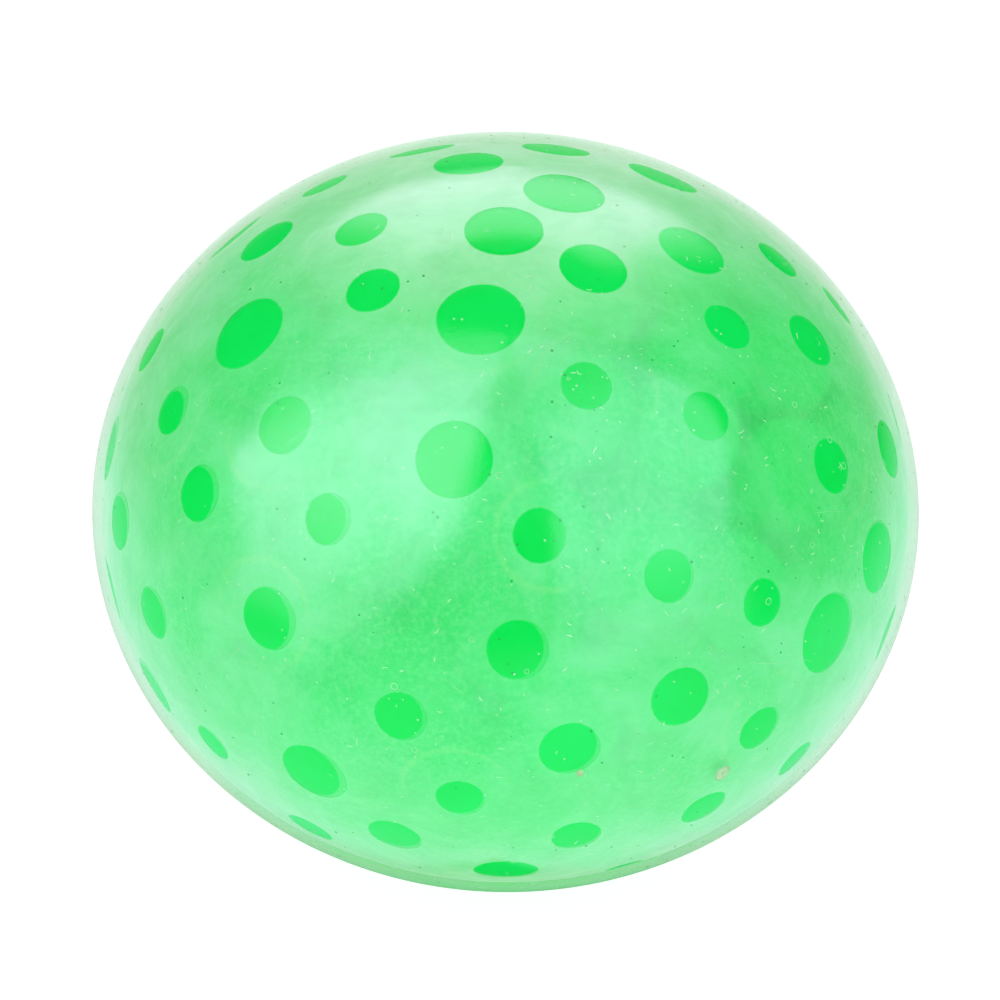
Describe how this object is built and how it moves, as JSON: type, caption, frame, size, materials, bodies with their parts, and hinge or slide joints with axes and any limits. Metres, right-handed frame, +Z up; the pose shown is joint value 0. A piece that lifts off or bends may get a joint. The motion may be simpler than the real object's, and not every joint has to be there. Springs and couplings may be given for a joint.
{
  "type": "bead-filled stress ball",
  "caption": "Soft clear squeeze ball, slightly flattened where it rests, packed with round green gel beads that press flat against the skin.",
  "frame": {"origin": "middle of the flat patch that the ball rests on", "axes": "+Z up through the middle of the ball; the front faces -Y and +X is to the right"},
  "size_m": [0.07, 0.07, 0.0602],
  "materials": {
    "skin": "gloss",
    "gel_beads": "gloss",
    "plug": "satin",
    "glue": "satin"
  },
  "bodies": {
    "skin": {"shell": "skin", "fill_plug": "plug", "glue_ring": "glue"},
    "bead_layer_1": {"bead_bed_1": "gel_beads", "gel_bead_45": "gel_beads", "gel_bead_50": "gel_beads"},
    "bead_layer_2": {"bead_bed_2": "gel_beads", "gel_bead_21": "gel_beads", "gel_bead_24": "gel_beads", "gel_bead_29": "gel_beads", "gel_bead_32": "gel_beads", "gel_bead_34": "gel_beads", "gel_bead_37": "gel_beads", "gel_bead_40": "gel_beads", "gel_bead_42": "gel_beads", "gel_bead_47": "gel_beads"},
    "bead_layer_3": {"bead_bed_3": "gel_beads", "gel_bead_08": "gel_beads", "gel_bead_11": "gel_beads", "gel_bead_13": "gel_beads", "gel_bead_16": "gel_beads", "gel_bead_19": "gel_beads", "gel_bead_26": "gel_beads", "gel_bead_27": "gel_beads", "gel_bead_35": "gel_beads", "gel_bead_39": "gel_beads", "gel_bead_48": "gel_beads"},
    "bead_layer_4": {"bead_bed_4": "gel_beads", "gel_bead_01": "gel_beads", "gel_bead_02": "gel_beads", "gel_bead_03": "gel_beads", "gel_bead_05": "gel_beads", "gel_bead_06": "gel_beads", "gel_bead_10": "gel_beads", "gel_bead_14": "gel_beads", "gel_bead_18": "gel_beads", "gel_bead_22": "gel_beads", "gel_bead_31": "gel_beads", "gel_bead_43": "gel_beads", "gel_bead_44": "gel_beads", "gel_bead_51": "gel_beads", "gel_bead_52": "gel_beads"},
    "bead_layer_5": {"bead_bed_5": "gel_beads", "gel_bead_04": "gel_beads", "gel_bead_07": "gel_beads", "gel_bead_09": "gel_beads", "gel_bead_12": "gel_beads", "gel_bead_15": "gel_beads", "gel_bead_17": "gel_beads", "gel_bead_20": "gel_beads", "gel_bead_23": "gel_beads", "gel_bead_25": "gel_beads", "gel_bead_28": "gel_beads", "gel_bead_30": "gel_beads", "gel_bead_33": "gel_beads", "gel_bead_36": "gel_beads", "gel_bead_38": "gel_beads", "gel_bead_41": "gel_beads", "gel_bead_46": "gel_beads", "gel_bead_49": "gel_beads"}
  },
  "joints": [
    {"name": "squeeze", "type": "slide", "parent": "skin", "child": "bead_layer_5", "axis": [0, 0, -1], "range_m": [0, 0.0153], "stiffness_N_per_m": 2500, "springref_m": -0.002, "deforming": ["shell", "bead_bed_5", "gel_bead_04", "gel_bead_07", "gel_bead_09", "gel_bead_12", "gel_bead_15", "gel_bead_17", "gel_bead_20", "gel_bead_23", "gel_bead_25", "gel_bead_28", "gel_bead_30", "gel_bead_33", "gel_bead_36", "gel_bead_38", "gel_bead_41", "gel_bead_46", "gel_bead_49"]},
    {"name": "layer_4_sink", "type": "slide", "parent": "skin", "child": "bead_layer_4", "axis": [0, 0, -1], "range_m": [0, 0.012], "deforming": ["bead_bed_4", "gel_bead_01", "gel_bead_02", "gel_bead_03", "gel_bead_05", "gel_bead_06", "gel_bead_10", "gel_bead_14", "gel_bead_18", "gel_bead_22", "gel_bead_31", "gel_bead_43", "gel_bead_44", "gel_bead_51", "gel_bead_52"]},
    {"name": "layer_3_sink", "type": "slide", "parent": "skin", "child": "bead_layer_3", "axis": [0, 0, -1], "range_m": [0, 0.0087], "deforming": ["bead_bed_3", "gel_bead_08", "gel_bead_11", "gel_bead_13", "gel_bead_16", "gel_bead_19", "gel_bead_26", "gel_bead_27", "gel_bead_35", "gel_bead_39", "gel_bead_48"]},
    {"name": "layer_2_sink", "type": "slide", "parent": "skin", "child": "bead_layer_2", "axis": [0, 0, -1], "range_m": [0, 0.0054], "deforming": ["bead_bed_2", "gel_bead_21", "gel_bead_24", "gel_bead_29", "gel_bead_32", "gel_bead_34", "gel_bead_37", "gel_bead_40", "gel_bead_42", "gel_bead_47"]},
    {"name": "layer_1_sink", "type": "slide", "parent": "skin", "child": "bead_layer_1", "axis": [0, 0, -1], "range_m": [0, 0.0022], "deforming": ["bead_bed_1", "gel_bead_45", "gel_bead_50"]}
  ],
  "couplings": [
    {"joint": "layer_4_sink", "follows": "squeeze", "ratio": 0.7843},
    {"joint": "layer_3_sink", "follows": "squeeze", "ratio": 0.5686},
    {"joint": "layer_2_sink", "follows": "squeeze", "ratio": 0.3529},
    {"joint": "layer_1_sink", "follows": "squeeze", "ratio": 0.1373}
  ]
}
